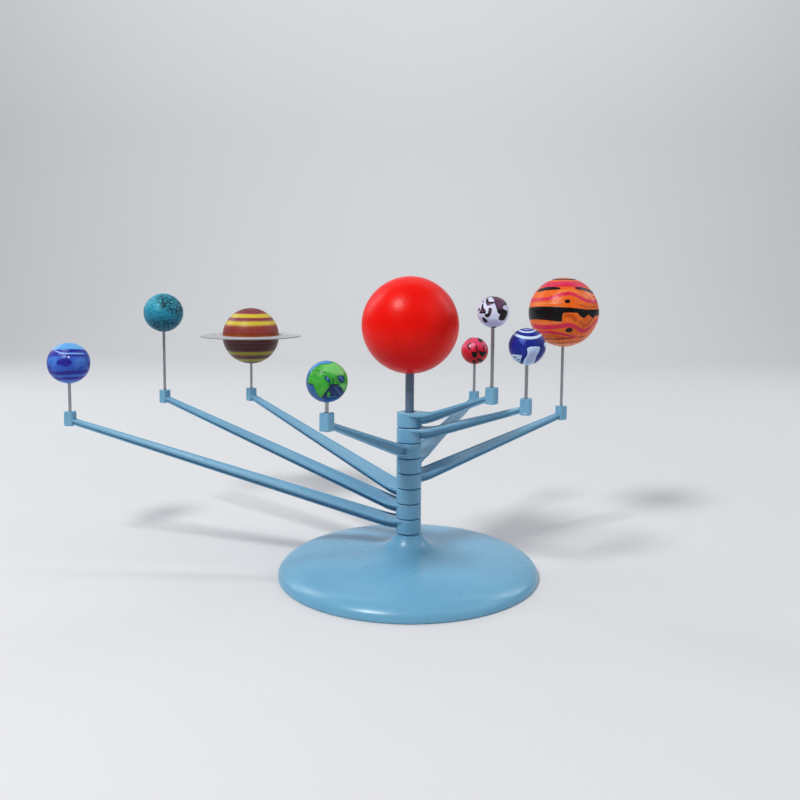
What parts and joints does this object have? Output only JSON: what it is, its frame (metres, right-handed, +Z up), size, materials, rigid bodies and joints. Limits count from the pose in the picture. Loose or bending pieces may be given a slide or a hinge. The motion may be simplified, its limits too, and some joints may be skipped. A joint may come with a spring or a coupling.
{
  "type": "orrery",
  "caption": "Desk orrery: a domed round base and post carry a painted sun, and painted planets on upright rods, each at the end of its own sloping arm that turns about the post.",
  "frame": {"origin": "on the table, on the axis of the post, at the middle of the post's flat lower end", "axes": "+Z up along the post; +X to the right and -Y towards someone who sees the longest arm at the far left"},
  "size_m": [0.313, 0.2153, 0.1555],
  "materials": {
    "base": "satin pale blue-grey moulded plastic",
    "post": "satin blue-grey moulded plastic",
    "arms": "satin pale blue-grey moulded plastic",
    "rods": "drawn bright wire",
    "sun": "red paint on a foam ball",
    "mercury": "hand paint on a foam ball",
    "venus": "hand paint on a foam ball",
    "earth": "hand paint on a foam ball",
    "mars": "hand paint on a foam ball",
    "jupiter": "hand paint on a foam ball",
    "saturn": "hand paint on a foam ball",
    "uranus": "hand paint on a foam ball",
    "neptune": "hand paint on a foam ball",
    "ring": "matt cream card"
  },
  "bodies": {
    "stand": {"base": "base", "post": "post", "sun": "sun"},
    "orbit_mercury": {"arm_mercury": "arms", "rod_mercury": "rods", "ball_mercury": "mercury"},
    "orbit_venus": {"arm_venus": "arms", "rod_venus": "rods", "ball_venus": "venus"},
    "orbit_earth": {"arm_earth": "arms", "rod_earth": "rods", "ball_earth": "earth"},
    "orbit_mars": {"arm_mars": "arms", "rod_mars": "rods", "ball_mars": "mars"},
    "orbit_jupiter": {"arm_jupiter": "arms", "rod_jupiter": "rods", "ball_jupiter": "jupiter"},
    "orbit_saturn": {"arm_saturn": "arms", "rod_saturn": "rods", "ball_saturn": "saturn", "ring_saturn": "ring"},
    "orbit_uranus": {"arm_uranus": "arms", "rod_uranus": "rods", "ball_uranus": "uranus"},
    "orbit_neptune": {"arm_neptune": "arms", "rod_neptune": "rods", "ball_neptune": "neptune"}
  },
  "joints": [
    {"name": "turn_mercury", "type": "hinge", "parent": "stand", "child": "orbit_mercury", "pos_m": [0, 0, 0.08149], "axis": [0, 0, 1], "continuous": true},
    {"name": "turn_venus", "type": "hinge", "parent": "stand", "child": "orbit_venus", "pos_m": [0, 0, 0.07349], "axis": [0, 0, 1], "continuous": true},
    {"name": "turn_earth", "type": "hinge", "parent": "stand", "child": "orbit_earth", "pos_m": [0, 0, 0.06549], "axis": [0, 0, 1], "continuous": true},
    {"name": "turn_mars", "type": "hinge", "parent": "stand", "child": "orbit_mars", "pos_m": [0, 0, 0.05749], "axis": [0, 0, 1], "continuous": true},
    {"name": "turn_jupiter", "type": "hinge", "parent": "stand", "child": "orbit_jupiter", "pos_m": [0, 0, 0.04949], "axis": [0, 0, 1], "continuous": true},
    {"name": "turn_saturn", "type": "hinge", "parent": "stand", "child": "orbit_saturn", "pos_m": [0, 0, 0.04149], "axis": [0, 0, 1], "continuous": true},
    {"name": "turn_uranus", "type": "hinge", "parent": "stand", "child": "orbit_uranus", "pos_m": [0, 0, 0.03349], "axis": [0, 0, 1], "continuous": true},
    {"name": "turn_neptune", "type": "hinge", "parent": "stand", "child": "orbit_neptune", "pos_m": [0, 0, 0.02549], "axis": [0, 0, 1], "continuous": true}
  ]
}
